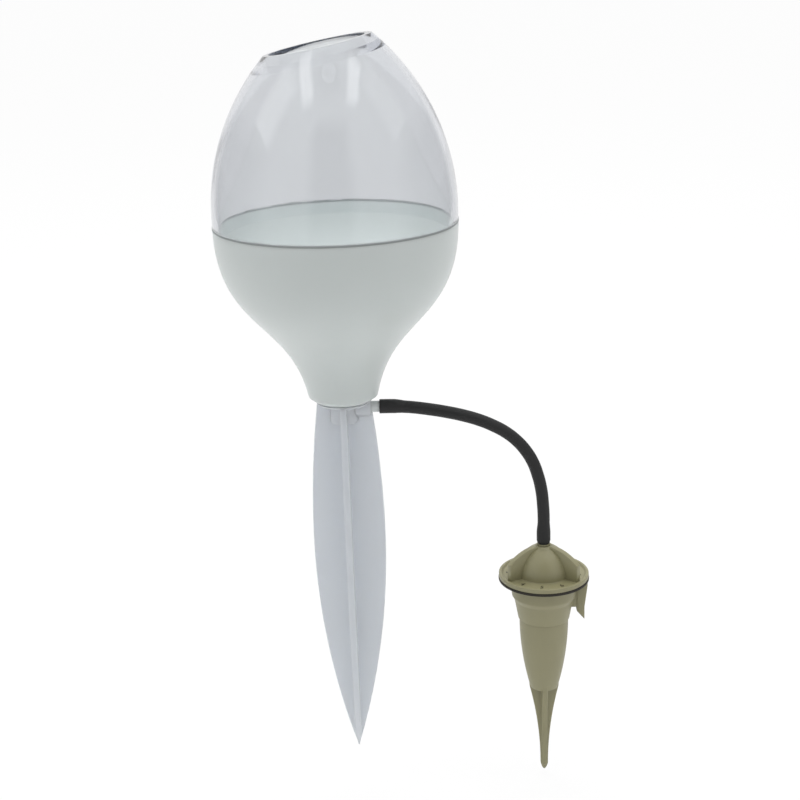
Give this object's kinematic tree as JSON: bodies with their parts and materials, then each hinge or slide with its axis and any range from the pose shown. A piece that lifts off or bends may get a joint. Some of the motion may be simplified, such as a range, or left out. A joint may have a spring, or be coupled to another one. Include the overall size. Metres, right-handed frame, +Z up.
{
  "type": "drip irrigation dripper",
  "caption": "Drip watering set: a clear-topped reservoir on a finned ground stake feeds, through a short hose, an adjustable dripper with a numbered dial and its own soil spike.",
  "frame": {"origin": "on the reservoir's axis, at the underside of the stake's flange, where the soil stops it", "axes": "+Z up along the reservoir and the stake, +X along the outlet to the dripper, +Y away from the viewer"},
  "size_m": [0.1863, 0.1212, 0.4002],
  "materials": {
    "white_plastic": "smooth moulded, satin gloss",
    "clear_plastic": "clear, polished",
    "frosted_plastic": "frosted, slightly translucent",
    "barb_plastic": "moulded",
    "khaki_plastic": "moulded, satin",
    "black_rubber": "moulded rubber",
    "grey_rubber": "moulded rubber",
    "hose_vinyl": "extruded vinyl"
  },
  "bodies": {
    "stake": {"stake": "frosted_plastic", "neck_o_ring": "black_rubber", "outlet_barb": "barb_plastic"},
    "reservoir": {"white_bowl": "white_plastic", "rim_seal": "grey_rubber", "outlet_strainer": "barb_plastic"},
    "dome": {"clear_dome": "clear_plastic"},
    "dripper": {"hose": "hose_vinyl", "inlet_barb": "khaki_plastic", "stem_o_ring": "black_rubber", "metering_disc": "khaki_plastic", "dripper_body": "khaki_plastic", "retaining_ring": "barb_plastic", "spike_cone": "khaki_plastic"},
    "dial": {"dial_cap": "khaki_plastic", "dial_gasket": "black_rubber"}
  },
  "joints": [
    {"name": "reservoir_turn", "type": "hinge", "parent": "stake", "child": "reservoir", "pos_m": [0, 0, 0.0072], "axis": [0, 0, 1], "continuous": true},
    {"name": "dome_lift", "type": "slide", "parent": "reservoir", "child": "dome", "axis": [0, 0, 1], "range_m": [0, 0.03]},
    {"name": "hose_swing", "type": "hinge", "parent": "stake", "child": "dripper", "pos_m": [0.0178, 0, -0.0034], "axis": [1, 0, 0], "range_deg": [-90, 90]},
    {"name": "dial_turn", "type": "hinge", "parent": "dripper", "child": "dial", "pos_m": [0.1018, 0, -0.1022], "axis": [0, 0, 1], "range_deg": [-125, 125]}
  ]
}
